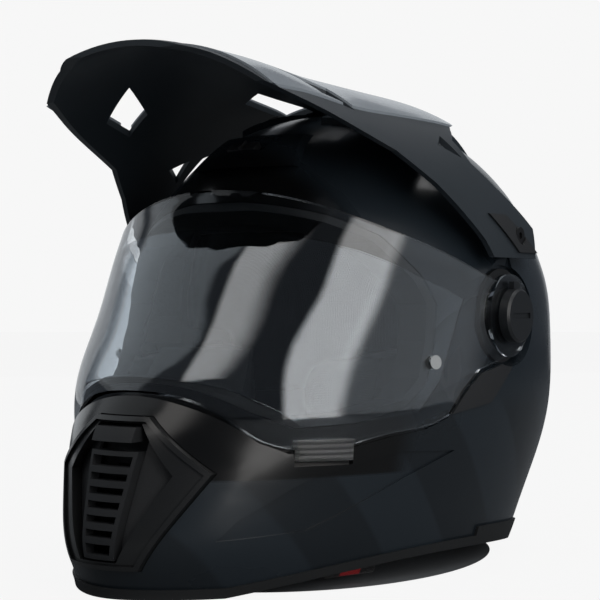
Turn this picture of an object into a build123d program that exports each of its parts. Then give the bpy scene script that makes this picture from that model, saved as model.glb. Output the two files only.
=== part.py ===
from build123d import *
import math
import os

os.makedirs("parts", exist_ok=True)

# Overall sizes of the shell. X points to the wearer's left, Y to the rear, Z up.
# The shield's pivot axis is at Y zero while the pieces are made, and the shell's base is at Z zero.
shell_height = 250.0
shell_half_width = 124.0
chin_reach = 190.0
rear_reach = 152.0
shell_wall = 4.0
seam_gap = 0.3
overrun = 30.0

# Outline of the shell, from the base up: height, half width, reach ahead, reach behind and widest station
shell_row_shares = [
    (0.000, 0.775, 0.965, 0.680, 0.06),
    (0.060, 0.825, 0.990, 0.730, 0.06),
    (0.160, 0.885, 0.985, 0.820, 0.06),
    (0.280, 0.950, 0.940, 0.925, 0.06),
    (0.368, 0.973, 0.875, 0.965, 0.06),
    (0.448, 0.975, 0.790, 0.975, 0.06),
    (0.536, 0.970, 0.715, 0.972, 0.06),
    (0.640, 0.938, 0.625, 0.935, 0.06),
    (0.740, 0.865, 0.545, 0.845, 0.07),
    (0.820, 0.767, 0.462, 0.745, 0.08),
    (0.888, 0.635, 0.368, 0.635, 0.09),
    (0.944, 0.470, 0.240, 0.510, 0.11),
    (0.974, 0.330, 0.130, 0.380, 0.12),
    (0.991, 0.200, 0.025, 0.255, 0.12),
    (1.000, 0.090, -0.045, 0.165, 0.11),
]
front_fullness = 1.8
section_points = 16
crown_cap = 5.0

# Pivot of the face shield
pivot_height = 0.536 * shell_height
pivot_face = 120.6
plate_radius = 25.0
plate_thickness = 2.2
plate_boss_radius = 15.0
plate_boss_height = 2.1
shield_disc_radius = 22.0
shield_disc_thickness = 3.4
hub_radius = 8.0
hub_fit = 0.05
hub_proud = 0.3
cap_radius = 14.3
cap_thickness = 6.0
cap_stem_radius = 5.0
cap_stem_length = 6.0
cap_tab_length = 4.5
cap_tab_width = 6.0
cap_tab_thickness = 3.0
cap_chamfer = 1.2
cap_groove_width = 3.0
cap_groove_depth = 1.0
pocket_depth = 8.0
pocket_clearance = 2.0
sweep_radius = 37.0
sweep_depth = 6.4
sweep_rear = 9.0

# Face shield, anti-fog insert and their pins
shield_half_width = 120.6
shield_centre = 8.0
shield_wall = 2.2
shield_stand_off = 2.6
shield_border = 2.5
insert_gap = 0.5
insert_wall = 0.9
pin_radius = 3.6
pin_head = 1.0
pin_fit = 0.05
pin_back_head = 0.5
pin_seat_gap = 0.2
pin_shank_radius = 1.6
shield_row_shares = [
    (0.224, 0.845),
    (0.288, 0.863),
    (0.344, 0.866),
    (0.400, 0.852),
    (0.500, 0.774),
    (0.600, 0.695),
    (0.700, 0.616),
    (0.798, 0.542),
    (0.864, 0.489),
]
shield_top_shares = [
    (0.542, 0.798), (0.489, 0.768), (0.437, 0.738), (0.353, 0.700), (0.295, 0.680),
    (0.200, 0.648), (0.090, 0.616), (-0.087, 0.596),
]
shield_rear_shares = [(-0.087, 0.596), (-0.063, 0.466), (0.147, 0.426), (0.210, 0.388), (0.268, 0.338)]
shield_bottom_shares = [
    (0.268, 0.338), (0.332, 0.320), (0.437, 0.309), (0.526, 0.295), (0.616, 0.279), (0.689, 0.284),
    (0.742, 0.304), (0.789, 0.344), (0.855, 0.392),
]
front_share = 1.06
insert_outline_shares = [
    (1.06, 0.712), (0.595, 0.712), (0.450, 0.668), (0.300, 0.608), (0.190, 0.572), (0.289, 0.405),
    (0.360, 0.345), (0.484, 0.335), (0.652, 0.325), (0.690, 0.352), (0.770, 0.397), (0.874, 0.430), (1.06, 0.430),
]
pin_place_shares = (0.316, 0.444)

# Lifting tab under the shield's lower edge, on the wearer's left of the middle
tab_place_shares = (0.610, 0.277)
tab_length = 22.0
tab_height = 4.5
tab_depth = 6.0

# Eye opening
eyeport_shares = [
    (1.06, 0.772), (0.500, 0.772), (0.421, 0.744), (0.347, 0.700), (0.289, 0.620), (0.268, 0.560), (0.289, 0.480),
    (0.326, 0.400), (0.395, 0.352), (0.526, 0.328), (0.658, 0.320), (0.737, 0.352), (0.800, 0.392),
    (0.868, 0.424), (1.06, 0.424),
]
gasket_width = 5.0
gasket_lip = 0.6
gasket_depth = 14.0

# Shallow panel sunk into each side of the shell behind the chin vent, with a groove under the shield's ends
side_panel_shares = [
    (0.842, 0.112), (0.800, 0.150), (0.690, 0.205), (0.620, 0.232), (0.400, 0.268), (0.220, 0.262), (0.380, 0.215),
    (0.560, 0.150), (0.640, 0.124),
]
side_panel_depth = 1.3
side_panel_edge_share = 0.300

# Base: arched side-on, so the chin and the nape touch the ground
trim_height = 10.0
trim_front_height = 5.0
trim_step_share = 0.042
trim_proud = 1.6
trim_depth = 9.0
trim_rise = 12.0
trim_front_share = 0.800
trim_rear_share = 0.720
trim_foot_share = 0.655

# Foam liner and the head's space
head_half_width = 77.0
head_half_length = 98.0
head_top = 84.0
head_centre = 12.0
head_level_share = 0.536
comfort_thickness = 8.0
foam_keep_shares = [
    (0.640, 0.788), (0.484, 0.788), (0.330, 0.735), (0.240, 0.665), (0.205, 0.530), (0.205, 0.470),
    (-0.060, 0.470), (-0.090, 0.250), (-0.190, 0.250), (-0.215, 0.175), (-0.900, 0.175), (-0.900, 1.060), (0.640, 1.060),
]
comfort_keep_shares = [
    (0.420, 0.790), (0.300, 0.745), (0.200, 0.665), (0.180, 0.500), (-0.080, 0.490),
    (-0.120, 0.330), (-0.900, 0.330), (-0.900, 1.060), (0.420, 1.060),
]

# Foam block inside the chin bar, breath deflector and chin curtain
chin_foam_depth = 18.0
chin_foam_shares = (0.076, 0.316)
chin_foam_rear_share = 0.520
deflector_wall = 2.2
deflector_low_half = 44.0
deflector_high_half = 30.0
deflector_shares = (0.210, 0.468)
curtain_thickness = 2.5
curtain_level_share = 0.034
curtain_rear_share = 0.600
curtain_inset = 12.0

# Cheek pads
cheek_inner = 49.0
cheek_split = 71.0
cheek_shares = [
    (0.500, 0.330), (0.470, 0.440), (0.330, 0.450), (-0.020, 0.440), (-0.030, 0.300), (0.010, 0.185),
    (0.300, 0.165), (0.440, 0.190),
]
cheek_crown_shares = [(1.0, 1.0), (0.45, 0.97), (0.12, 0.91), (0.0, 0.80)]
cheek_foam_margin = 6.0

# Neck roll
roll_inner_half = 80.0
roll_inner_length = 76.0
roll_shares = (0.032, 0.168)
roll_front_share = 0.225
roll_ring_shares = [(-0.2, 1.0), (0.2, 0.25), (0.5, 0.0), (0.8, 0.25), (1.2, 1.0)]

# Chin straps with their rings
strap_width = 22.0
strap_thickness = 2.2
strap_station_share = 0.140
strap_anchor_width = 24.0
strap_anchor_height = 24.0
strap_anchor_thickness = 3.0
strap_anchor_share = 0.188
strap_route_shares = [(0.838, 0.228), (0.808, 0.176), (0.765, 0.135), (0.700, 0.088), (0.520, 0.062), (0.230, 0.052)]
ring_wire = 1.6
ring_length = 17.0
ring_spacing = 4.4
ring_swing_gap = 0.1
loop_wall = 1.8

# Brow trim inside the top of the eye opening
brow_inset = 17.0
brow_wall = 3.0
brow_low_half = 37.0
brow_high_half = 45.0
brow_shares = (0.712, 0.787)

# Chin vent, seen from the front: half widths and heights of its six corners
vent_top_half = 17.0
vent_mid_half = 48.5
vent_low_half = 21.5
vent_corner_shares = (0.345, 0.240, 0.058)
vent_opening_shares = [(0.109, 0.332), (0.266, 0.236), (0.093, 0.072)]
vent_rim = 2.2
vent_proud = 2.4
vent_band_proud = 0.9
vent_recess = 9.0
vent_clearance = 0.4
vent_frame_width = 4.0
vent_frame_depth = 6.0
vent_backing = 2.0
vent_backing_inset = 5.0
vent_pocket_depth = 16.0
vent_front_share = 0.55
grille_top_share = 0.280
grille_inset = 0.5
grille_top_half = 15.5
grille_low_half = 10.0
grille_post = 2.6
grille_depth = 6.0
slat_count = 6
slat_thickness = 3.2
shutter_wall = 1.8
shutter_gap = 1.0
shutter_half = 17.0
shutter_top_share = 0.332
shutter_low_share = 0.092
lever_half = 13.0
lever_height = 7.0
lever_proud = 3.0
lever_share = 0.311
filter_wall = 3.0
filter_half = 23.0
filter_shares = (0.108, 0.292)

# Matte covers under the ends of the shield
cover_shares = [(0.137, 0.424), (-0.047, 0.462), (0.100, 0.356), (0.263, 0.336)]
cover_proud = 1.2
skin_gap = 0.05

# Peak
peak_half_width = 126.0
peak_arch = 110.0
peak_crest = 268.5
peak_wall = 3.0
peak_station_shares = [
    (0.960, 0.920, 0.984),
    (0.790, 0.925, 1.000),
    (0.658, 0.930, 0.997),
    (0.526, 0.935, 0.989),
    (0.395, 0.940, 0.981),
    (0.263, 0.960, 0.977),
    (0.132, 0.985, 0.973),
    (0.000, 1.000, 0.970),
    (-0.132, 1.000, 0.962),
    (-0.263, 1.000, 0.945),
]
peak_side_shares = [
    (0.905, 1.060), (0.905, 1.050), (0.861, 1.035), (0.821, 1.003), (0.795, 0.981), (0.395, 0.868), (0.289, 0.806),
    (0.147, 0.692), (0.120, 0.658), (-0.105, 0.658), (-0.137, 0.724), (-0.068, 0.768), (0.000, 0.812),
    (0.050, 0.860), (0.040, 0.912), (-0.042, 0.944), (-0.190, 0.985), (-0.190, 1.180), (0.905, 1.180),
]
peak_window_shares = [
    [(0.361, 0.611), (0.480, 0.447), (0.607, 0.432), (0.575, 0.553)],
    [(0.738, 0.153), (0.690, 0.089), (0.790, 0.079)],
    [(0.127, 0.221), (0.262, 0.168), (0.333, -0.105), (0.175, -0.105)],
]
peak_window_low_share = 0.780
panel_half_share = 0.595
panel_front_share = 0.780
panel_rear_share = -0.150
panel_wall = 1.2
panel_window_margin = 4.0
peak_screw_shares = (-0.030, 0.706)
peak_screw_radius = 2.5
peak_screw_head = 4.6
peak_screw_head_height = 2.2
peak_screw_socket = 2.0
peak_screw_recess = 1.2
peak_bush_radius = 7.0
peak_ear_radius = 8.0
peak_ear_face = 116.7
peak_head_face = 121.0
peak_screw_fit = 0.05
peak_screw_grip = 4.5
screw_cover_shares = [(0.105, 0.750), (0.020, 0.750), (-0.112, 0.670), (-0.005, 0.670)]
top_screw_share = -0.130
top_slot_length = 9.0
top_slot_rear = 1.0
top_slot_fit = 0.25
top_washer_radius = 6.5
top_washer_height = 1.6
top_washer_gap = 1.2
crown_boss_radius = 5.0
crown_boss_gap = 1.2

# Forehead and crown vents with their sliders
forehead_low_half = 34.0
forehead_high_half = 26.0
forehead_shares = (0.850, 0.926)
forehead_level_share = 0.888
crown_vent_shares = [(0.165, 0.170), (0.340, 0.120), (0.360, -0.150), (0.175, -0.165)]
crown_vent_place_shares = (0.262, 0.0)
vent_housing_proud = 3.0
slider_length = 18.0
slider_width = 7.0
slider_proud = 1.2
slider_lift = 0.6
slider_travel = 6.0
slider_gap = 0.3
slider_ridge = 1.6
duct_length = 14.0
duct_width = 3.0
crown_slider_length = 12.0
crown_slider_width = 7.0

# Rear spoiler with its exhaust slots
spoiler_half = 46.0
spoiler_proud = 6.0
spoiler_shares = [
    (-0.250, 1.060), (-0.250, 0.930), (-0.360, 0.900), (-0.500, 0.820), (-0.600, 0.700), (-0.900, 0.670), (-0.900, 1.060),
]
spoiler_slot_count = 3
spoiler_slot_half = 26.0
spoiler_slot_height = 5.0
spoiler_slot_shares = (0.735, 0.845)

# Emergency pull tabs of the cheek pads
pull_tab_length = 30.0
pull_tab_wall = 2.4
pull_tab_share = 0.433
pull_tab_shares = (0.014, 0.160)


def yz(shares):
    """Places seen from the side, from shares of the chin's reach and of the shell's height."""
    return [(-fore * chin_reach, up * shell_height) for fore, up in shares]


def cut_side(points, half_width=peak_half_width + overrun):
    """A sheet with a side-on outline, run across the whole helmet."""
    outline = Polyline(*points, close=True)
    return extrude(Plane.YZ * make_face(outline), amount=half_width, both=True)


def cut_front(points, near, far):
    """A sheet with a front-on outline in X and Z, run from Y near to Y far."""
    outline = Polyline(*points, close=True)
    face = Plane((0, near, 0), x_dir=(1, 0, 0), z_dir=(0, -1, 0)) * make_face(outline)
    return extrude(face, amount=near - far)


def cut_plan(points, low, high):
    """A sheet with a plan outline in X and Y, run from Z low to Z high."""
    outline = Polyline(*points, close=True)
    return extrude(Plane((0, 0, low)) * make_face(outline), amount=high - low)


def slab(x0, x1, y0, y1, z0, z1):
    """A box between two corners."""
    middle = ((x0 + x1) / 2, (y0 + y1) / 2, (z0 + z1) / 2)
    return Pos(*middle) * Box(x1 - x0, y1 - y0, z1 - z0)


def across(radius, x0, x1, y, z):
    """A round bar along X."""
    return Plane((x0, y, z), z_dir=(1, 0, 0)) * Cylinder(
        radius, x1 - x0, align=(Align.CENTER, Align.CENTER, Align.MIN)
    )


def mirrored(shape):
    return mirror(shape, about=Plane.YZ)


forms = {}


def body(inset):
    """The shell's outer form, drawn in by inset."""
    if inset in forms:
        return forms[inset]
    squash = (shell_height - inset) / shell_height
    faces = []
    for up, wide, fore, aft, station in shell_row_shares:
        centre = station * rear_reach
        half = max(wide * shell_half_width - inset, crown_cap)
        ahead = max(fore * chin_reach + centre - inset, crown_cap)
        behind = max(aft * rear_reach - centre - inset, crown_cap)
        points = []
        for step in range(section_points):
            turn = 2 * math.pi * step / section_points
            side = math.sin(turn)
            along = math.cos(turn)
            if along < 0:
                side = math.copysign(abs(side) ** (2 / front_fullness), side)
                along = -abs(along) ** (2 / front_fullness)
            reach = behind if along > 0 else ahead
            points.append((half * side, centre + reach * along, 0))
        edge = Spline(*points, periodic=True)
        faces.append(Pos(0, 0, up * shell_height * squash) * make_face(edge))
    forms[inset] = loft(faces)
    return forms[inset]


def shield_form(inset):
    """The solid inside the face shield's outer surface, drawn in by inset."""
    faces = []
    half = shield_half_width - inset
    back = shield_centre + plate_radius + overrun
    for up, fore in shield_row_shares:
        ahead = fore * chin_reach + shield_centre - inset
        arc = EllipticalCenterArc((0, shield_centre), half, ahead, 180, arc_size=180)
        sides = Polyline((half, shield_centre), (half, back), (-half, back), (-half, shield_centre))
        faces.append(Pos(0, 0, up * shell_height) * make_face(arc + sides))
    return loft(faces)


def shield_outline():
    """The shield's own edge, seen from the side."""
    top = Spline(*yz(shield_top_shares))
    rear = Polyline(*yz(shield_rear_shares))
    bottom = Spline(*yz(shield_bottom_shares))
    first = yz([shield_top_shares[0]])[0]
    last = yz([shield_bottom_shares[-1]])[0]
    ahead = -front_share * chin_reach
    nose = Polyline(last, (ahead, last[1]), (ahead, first[1]), first)
    face = make_face(top + rear + bottom + nose)
    return extrude(Plane.YZ * face, amount=peak_half_width + overrun, both=True)


def shield_region(border):
    """The region round the shield's edge, with straight stretches, grown by border."""
    last = yz([shield_bottom_shares[-1]])[0]
    first = yz([shield_top_shares[0]])[0]
    ahead = -front_share * chin_reach
    points = yz(shield_top_shares) + yz(shield_rear_shares[1:]) + yz(shield_bottom_shares[1:])
    return grown(points + [(ahead, last[1]), (ahead, first[1])], border)


def grown(points, amount):
    """A side-on outline grown or shrunk by amount, run across the helmet."""
    face = offset(make_face(Polyline(*points, close=True)), amount, kind=Kind.INTERSECTION)
    return extrude(Plane.YZ * face, amount=peak_half_width + overrun, both=True)


def both(shape):
    """A piece and its mirror image on the other side."""
    return shape + mirrored(shape)


def pocket_forms(wall):
    """The round pockets of the pivots and the quarter above each that the shield sweeps, deeper by wall."""
    out = shell_half_width + overrun
    pocket = across(plate_radius + pocket_clearance + wall, pivot_face - pocket_depth - wall, out, 0, pivot_height)
    sweep = across(sweep_radius + wall, pivot_face - sweep_depth - wall, out, 0, pivot_height)
    high = pivot_height + sweep_radius + wall
    sweep = sweep & slab(0, out, -sweep_radius - wall, sweep_rear + wall, pivot_height - wall, high)
    return both(pocket + sweep)


def tab_region(border):
    """Where the lifting tab runs, grown by border."""
    fore, up = tab_place_shares
    y = -fore * chin_reach
    z = up * shell_height
    half = tab_length / 2 + border
    return slab(0, shell_half_width, y - half, y + half, z - tab_height - border, z + tab_height)


def hollow(clearance):
    """The space inside the shell's wall, less the places where the wall steps in."""
    inset = shield_wall + shield_stand_off + shell_wall + clearance
    border = shield_border + shell_wall
    step = (shield_region(border) + tab_region(border)) - shield_form(inset)
    return body(shell_wall + clearance) - step - pocket_forms(shell_wall + clearance)


def head_form(grow):
    """The head's space, grown by the comfort lining."""
    level = head_level_share * shell_height
    ball = scale(Sphere(1), by=(head_half_width + grow, head_half_length + grow, head_top + grow))
    column = scale(Cylinder(1, 1), by=(head_half_width + grow, head_half_length + grow, level + overrun))
    form = Pos(0, 0, level) * ball + Pos(0, 0, (level - overrun) / 2) * column
    return Pos(0, head_centre, 0) * form


def base_line(rise, rear_share=trim_rear_share):
    """The region under the arched base edge, lifted by rise."""
    front = -trim_front_share * chin_reach
    rear = rear_share * rear_reach
    middle = (front + rear) / 2
    arch = ThreePointArc((front, rise), (middle, rise + trim_rise), (rear, rise))
    far_front = -chin_reach - overrun
    far_rear = rear_reach + overrun
    under = Polyline((rear, rise), (far_rear, rise), (far_rear, -overrun), (far_front, -overrun), (far_front, rise), (front, rise))
    return extrude(Plane.YZ * make_face(arch + under), amount=shell_half_width + overrun, both=True)


def trim_line():
    """The region of the base trim, which stands higher behind a step on each side."""
    step = slab(-wide, wide, -trim_step_share * chin_reach, rear_reach + overrun, -overrun, shell_height / 2)
    return base_line(trim_front_height) + (base_line(trim_height) & step)


def arch_form(inset):
    """The solid under the peak's outer surface, drawn in by inset."""
    faces = []
    for fore, wide, high in peak_station_shares:
        crest = high * peak_crest
        foot = crest - peak_arch
        half = wide * peak_half_width - inset
        arc = EllipticalCenterArc((0, foot), half, peak_arch - inset, 0, arc_size=180)
        base = Line((-half, foot), (half, foot))
        plane = Plane((0, -fore * chin_reach, 0), x_dir=(1, 0, 0), z_dir=(0, -1, 0))
        faces.append(plane * make_face(arc + base))
    return loft(faces)


nodes = {}
carried = {}


def reach_at(z, inset):
    """How far the shell's surface, drawn in by inset, reaches ahead at height z."""
    rows = [(up * shell_height, fore * chin_reach) for up, wide, fore, aft, station in shell_row_shares]
    for (low, near), (high, far) in zip(rows, rows[1:]):
        if low <= z <= high:
            return near + (far - near) * (z - low) / (high - low) - inset
    return rows[-1][1] - inset


def half_at(z):
    """The shell's half width at height z."""
    rows = [(up * shell_height, wide * shell_half_width) for up, wide, fore, aft, station in shell_row_shares]
    for (low, near), (high, far) in zip(rows, rows[1:]):
        if low <= z <= high:
            return near + (far - near) * (z - low) / (high - low)
    return rows[-1][1]


def skin_plane(origin, direction, along):
    """A plane on the shell's surface where a line first meets it, with its normal outward."""
    hits = []
    for face in body(0).faces():
        hits += face.find_intersection_points(Axis(origin, direction))
    point, normal = min(hits, key=lambda hit: (hit[0] - Vector(*origin)).length)
    if normal.dot(Vector(*direction)) > 0:
        normal = normal * -1
    up = normal.cross(Vector(*along)).normalized()
    return Plane(point, x_dir=up.cross(normal), z_dir=normal)


def left_half(shape):
    far = chin_reach + rear_reach
    return shape & slab(0, shell_half_width + overrun, -far, far, -overrun, shell_height + overrun)


# Outer shell
vent_high, vent_mid, vent_low = (share * shell_height for share in vent_corner_shares)
shell_face = pivot_face - pocket_depth


def vent_outline(grow):
    """The chin vent's six corners from the front, grown evenly, as a long prism."""
    face = make_face(Polyline(
        (-vent_top_half, vent_high), (vent_top_half, vent_high), (vent_mid_half, vent_mid),
        (vent_low_half, vent_low), (-vent_low_half, vent_low), (-vent_mid_half, vent_mid),
        close=True,
    ))
    if grow:
        face = offset(face, grow, kind=Kind.INTERSECTION)
    plane = Plane((0, -vent_front_share * chin_reach, 0), x_dir=(1, 0, 0), z_dir=(0, -1, 0))
    return extrude(plane * face, amount=chin_reach * (1 - vent_front_share) + overrun)


eyeport = yz(eyeport_shares)
wide = shell_half_width
forehead_level = forehead_level_share * shell_height
forehead_plane = skin_plane((0, -chin_reach - overrun, forehead_level), (0, 1, 0), (1, 0, 0))
crown_across, crown_fore = crown_vent_place_shares
crown_x = crown_across * shell_half_width
crown_plane = skin_plane((crown_x, -crown_fore * chin_reach, shell_height + overrun), (0, 0, -1), (0, 1, 0))

seat = (shield_region(shield_border) + tab_region(shield_border)) - shield_form(shield_wall + shield_stand_off)
forehead_duct = forehead_plane * Box(duct_length, duct_width, shell_wall + shell_wall + shell_wall)
crown_duct = both(crown_plane * Box(duct_length, duct_width, shell_wall + shell_wall + shell_wall))
shell = body(0) - seat - pocket_forms(0)
shell = shell - hollow(0) - cut_side(eyeport) - trim_line()
shell = shell - vent_outline(vent_clearance) - forehead_duct - crown_duct
panel_side = cut_side(yz(side_panel_shares)) - body(side_panel_depth)
panel_side = left_half(panel_side) - slab(0, side_panel_edge_share * wide, -chin_reach, 0, 0, shell_height)
nodes["outer_shell"] = shell - both(panel_side)

# Base trim and the eye opening's gasket
trim = body(-trim_proud) - body(trim_depth)
nodes["base_trim"] = (trim & trim_line()) - base_line(0, trim_foot_share)
gasket = grown(eyeport, -seam_gap) - grown(eyeport, -gasket_width)
gasket = gasket & (body(gasket_lip) - body(gasket_depth))
nodes["eyeport_gasket"] = gasket & shield_form(shield_wall + shield_stand_off)

# Foam liner, comfort liner, chin foam
liner = hollow(seam_gap) & cut_side(yz(foam_keep_shares))
nodes["foam_liner"] = liner - head_form(comfort_thickness + seam_gap)
comfort = head_form(comfort_thickness) - head_form(0)
nodes["comfort_liner"] = comfort & cut_side(yz(comfort_keep_shares))

chin_low, chin_top = (share * shell_height for share in chin_foam_shares)
chin_rear = -chin_foam_rear_share * chin_reach
chin_block = slab(-wide, wide, -chin_reach - overrun, chin_rear, chin_low, chin_top)
chin_foam = (hollow(seam_gap) & chin_block) - body(shell_wall + chin_foam_depth)
chin_foam = chin_foam - (vent_outline(vent_frame_width) - body(vent_pocket_depth))


def lean_plane(inset):
    """The plane of the vent's shutter, inset behind the shell's surface at the shutter's two ends."""
    high = shutter_top_share * shell_height
    low = shutter_low_share * shell_height
    up, wide_share, fore, aft, station = shell_row_shares[0]
    share = shutter_half / (wide_share * shell_half_width)
    sag = (chin_reach + rear_reach * station) * (1 - (1 - share ** front_fullness) ** (1 / front_fullness))
    far_high = -reach_at(high, inset + sag)
    far_low = -reach_at(low, inset + sag)
    lean = math.atan2(far_high - far_low, high - low)
    middle = (0, (far_high + far_low) / 2, (high + low) / 2)
    return Plane(middle, x_dir=(1, 0, 0), z_dir=(0, -math.cos(lean), math.sin(lean))), lean


shutter_plane, shutter_lean = lean_plane(vent_frame_depth + shutter_gap)
shutter_middle = shutter_plane.origin.Z
rise = math.cos(shutter_lean)


def leaning(half, low, high, back, front):
    """A block square to the shutter's plane, between two heights and two depths."""
    y0 = (low - shutter_middle) / rise
    y1 = (high - shutter_middle) / rise
    middle = (0, (y0 + y1) / 2, (back + front) / 2)
    return shutter_plane * (Pos(*middle) * Box(half + half, y1 - y0, front - back))


filter_low, filter_high = (share * shell_height for share in filter_shares)
filter_back = -shutter_wall - shutter_gap - filter_wall
duct = leaning(filter_half + seam_gap, filter_low - seam_gap, filter_high + seam_gap, -shell_half_width / 2, 0)
nodes["chin_foam"] = chin_foam - duct

# Cheek foam and cheek pads
cheek_points = yz(cheek_shares)
cheek_block = extrude(
    Plane.YZ.offset(cheek_split + seam_gap) * make_face(Polyline(*cheek_points, close=True)),
    amount=shell_half_width,
)
cheek_foam = (hollow(seam_gap) & cheek_block) - grown(eyeport, cheek_foam_margin)
nodes["cheek_foam_left"] = cheek_foam
nodes["cheek_foam_right"] = mirrored(cheek_foam)
mid_y = sum(y for y, z in cheek_points) / len(cheek_points)
mid_z = sum(z for y, z in cheek_points) / len(cheek_points)
sections = []
for depth_share, size_share in cheek_crown_shares:
    ring = [(mid_y + (y - mid_y) * size_share, mid_z + (z - mid_z) * size_share) for y, z in cheek_points]
    place = Plane.YZ.offset(cheek_inner + (cheek_split - cheek_inner) * depth_share)
    sections.append(place * make_face(Spline(*ring, periodic=True)))
cheek_pad = loft(sections)
nodes["cheek_pad_left"] = cheek_pad
nodes["cheek_pad_right"] = mirrored(cheek_pad)

# Neck roll, with an inner side that swells towards the head
roll_low, roll_high = (share * shell_height for share in roll_shares)
roll = hollow(seam_gap) & slab(-wide, wide, roll_front_share * rear_reach, rear_reach, roll_low, roll_high)
roll_rings = []
for share, swell in roll_ring_shares:
    grow = swell * comfort_thickness
    edge = Ellipse(roll_inner_length + grow, roll_inner_half + grow, rotation=90)
    roll_rings.append(Pos(0, head_centre, roll_low + (roll_high - roll_low) * share) * edge)
roll = roll - loft(roll_rings) - base_line(trim_height + seam_gap)
nodes["neck_roll"] = roll

# Chin curtain, breath deflector, brow trim
curtain_z = curtain_level_share * shell_height
curtain_rear = -curtain_rear_share * chin_reach
curtain = slab(-wide, wide, -chin_reach, curtain_rear, curtain_z, curtain_z + curtain_thickness)
curtain_bow = Pos(0, curtain_rear, curtain_z) * Cylinder(deflector_low_half, curtain_inset)
nodes["chin_curtain"] = (curtain & body(trim_depth + seam_gap)) - curtain_bow

deflector_low, deflector_high = (share * shell_height for share in deflector_shares)
deflector_inset = shell_wall + chin_foam_depth + seam_gap
deflector = body(deflector_inset) - body(deflector_inset + deflector_wall)
deflector_front = cut_front(
    [(-deflector_low_half, deflector_low), (deflector_low_half, deflector_low),
     (deflector_high_half, deflector_high), (-deflector_high_half, deflector_high)],
    chin_rear, -chin_reach,
)
nodes["breath_deflector"] = deflector & deflector_front

brow_low, brow_high = (share * shell_height for share in brow_shares)
brow = body(brow_inset) - body(brow_inset + brow_wall)
brow_front = cut_front(
    [(-brow_low_half, brow_low), (brow_low_half, brow_low), (brow_high_half, brow_high), (-brow_high_half, brow_high)],
    0, -chin_reach,
)
nodes["brow_trim"] = (brow & brow_front) - grown(yz(foam_keep_shares), seam_gap)

# Chin vent: frame, backing, grille, shutter and filter


def vent_opening(border):
    """The frame's six-sided opening from the front, drawn in by border."""
    right = [(across_share * wide - border, up * shell_height) for across_share, up in vent_opening_shares]
    left = [(-x, z) for x, z in reversed(right)]
    return cut_front(right + left, 0, -chin_reach - overrun)


rim = (vent_outline(0) - vent_outline(-vent_rim)) & (body(-vent_proud) - body(vent_frame_depth))
band = (vent_outline(-vent_rim) - vent_opening(0)) & (body(-vent_band_proud) - body(vent_frame_depth))
nodes["chin_vent_frame"] = rim + band
grille_low = vent_low + vent_frame_width
grille_top = grille_top_share * shell_height


def grille_face(border):
    """The grille's outline from the front, drawn in by border."""
    low = grille_low + border
    top = grille_top - border
    low_half = grille_low_half - border
    top_half = grille_top_half - border
    return cut_front([(-low_half, low), (low_half, low), (top_half, top), (-top_half, top)], 0, -chin_reach - overrun)


grille = grille_face(seam_gap) - grille_face(grille_post)
pitch = (grille_top - grille_low - grille_post - grille_post) / (slat_count + 1)
slat_levels = [grille_low + grille_post + pitch * (step + 1) for step in range(slat_count)]
for level in slat_levels:
    slat = slab(-wide, wide, -chin_reach - overrun, 0, level - slat_thickness / 2, level + slat_thickness / 2)
    grille += slat & grille_face(grille_post - seam_gap)
nodes["chin_vent_grille"] = grille & (body(grille_inset) - body(grille_depth))
column = cut_front(
    [(-grille_low_half, vent_low), (grille_low_half, vent_low), (grille_low_half, grille_low), (grille_top_half, grille_top),
     (grille_top_half, vent_high), (-grille_top_half, vent_high), (-grille_top_half, grille_top), (-grille_low_half, grille_low)],
    0, -chin_reach - overrun,
)
backing = vent_opening(seam_gap) - column
backing = backing & (body(vent_backing_inset) - body(vent_backing_inset + vent_backing))

shutter_low = shutter_low_share * shell_height
shutter_top = shutter_top_share * shell_height
shutter = leaning(shutter_half, shutter_low, shutter_top, -shutter_wall, 0)
window_half = grille_low_half - grille_post
for level in slat_levels:
    shutter -= leaning(window_half, level - slat_thickness / 2, level + slat_thickness / 2, -shell_wall, shell_wall)
shutter_room = leaning(shutter_half + seam_gap, shutter_low - pitch, shutter_top + seam_gap, -shell_wall, seam_gap)
nodes["chin_vent_backing"] = backing - shutter_room
nodes["chin_foam"] = nodes["chin_foam"] - shutter_room
lever_level = lever_share * shell_height
lever_low = lever_level - lever_height / 2
lever_high = lever_level + lever_height / 2
lever_root = shutter_plane.origin.Y + (lever_level - shutter_middle) * math.tan(shutter_lean) + shutter_wall / 2
lever = slab(-lever_half, lever_half, -chin_reach - overrun, lever_root, lever_low, lever_high)
nodes["chin_vent_shutter"] = shutter + (lever & body(-lever_proud))
nodes["chin_vent_filter"] = leaning(filter_half, filter_low, filter_high, filter_back, filter_back + filter_wall)

# Face shield with its discs, hub holes, lifting tab and pin holes
shield = shield_form(0) - shield_form(shield_wall)
tab_fore, tab_up = tab_place_shares
tab_y = -tab_fore * chin_reach
tab_z = tab_up * shell_height
tab = slab(0, shell_half_width, tab_y - tab_length / 2, tab_y + tab_length / 2, tab_z - tab_height, tab_z + tab_height)
shield = shield & (shield_outline() + tab)
disc_back = pivot_face - shield_disc_thickness
under_disc = across(shield_disc_radius, shell_face, disc_back, 0, pivot_height)
disc = across(shield_disc_radius, disc_back, pivot_face, 0, pivot_height)
hub_hole = across(hub_radius + hub_fit, shell_face, pivot_face + shell_wall, 0, pivot_height)
rear_room = slab(-wide, wide, 0, rear_reach, 0, shell_height)
rear_room = rear_room - both(across(shield_disc_radius, 0, shell_half_width + overrun, 0, pivot_height))
shield = (shield - both(under_disc) - rear_room + both(disc)) - both(hub_hole)
pin_fore, pin_up = pin_place_shares
pin_y = -pin_fore * chin_reach
pin_z = pin_up * shell_height


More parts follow.
